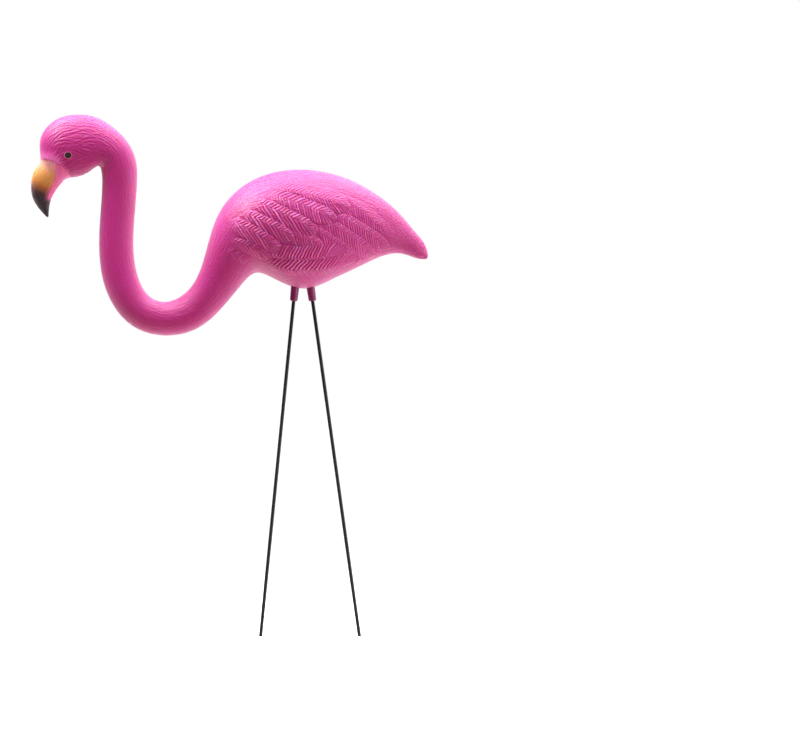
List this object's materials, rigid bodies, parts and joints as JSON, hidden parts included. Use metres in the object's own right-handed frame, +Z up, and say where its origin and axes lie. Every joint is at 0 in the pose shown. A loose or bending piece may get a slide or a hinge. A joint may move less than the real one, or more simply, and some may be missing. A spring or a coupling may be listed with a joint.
{
  "type": "flamingo lawn ornament",
  "caption": "Pink moulded-plastic flamingo for the garden, with an S-bent neck and feathered wings, held up on slim wire legs set in the ground.",
  "frame": {"origin": "on the ground, on the bird's middle plane, between the points where its front and rear legs enter the ground", "axes": "+Z up, the bird looks along -X, +Y is the bird's right-hand side, and the plane y = 0 is its mirror plane"},
  "size_m": [0.5397, 0.1296, 0.7074],
  "materials": {
    "pink_plastic": "satin pink moulded plastic, with the beak and eyes painted on",
    "plum_plastic": "satin, dark plum",
    "black_wire": "black coated steel wire"
  },
  "bodies": {
    "root": {"flamingo_body": "pink_plastic", "front_leg_socket": "plum_plastic", "rear_leg_socket": "plum_plastic", "front_leg_rod": "black_wire", "rear_leg_rod": "black_wire"}
  },
  "joints": []
}
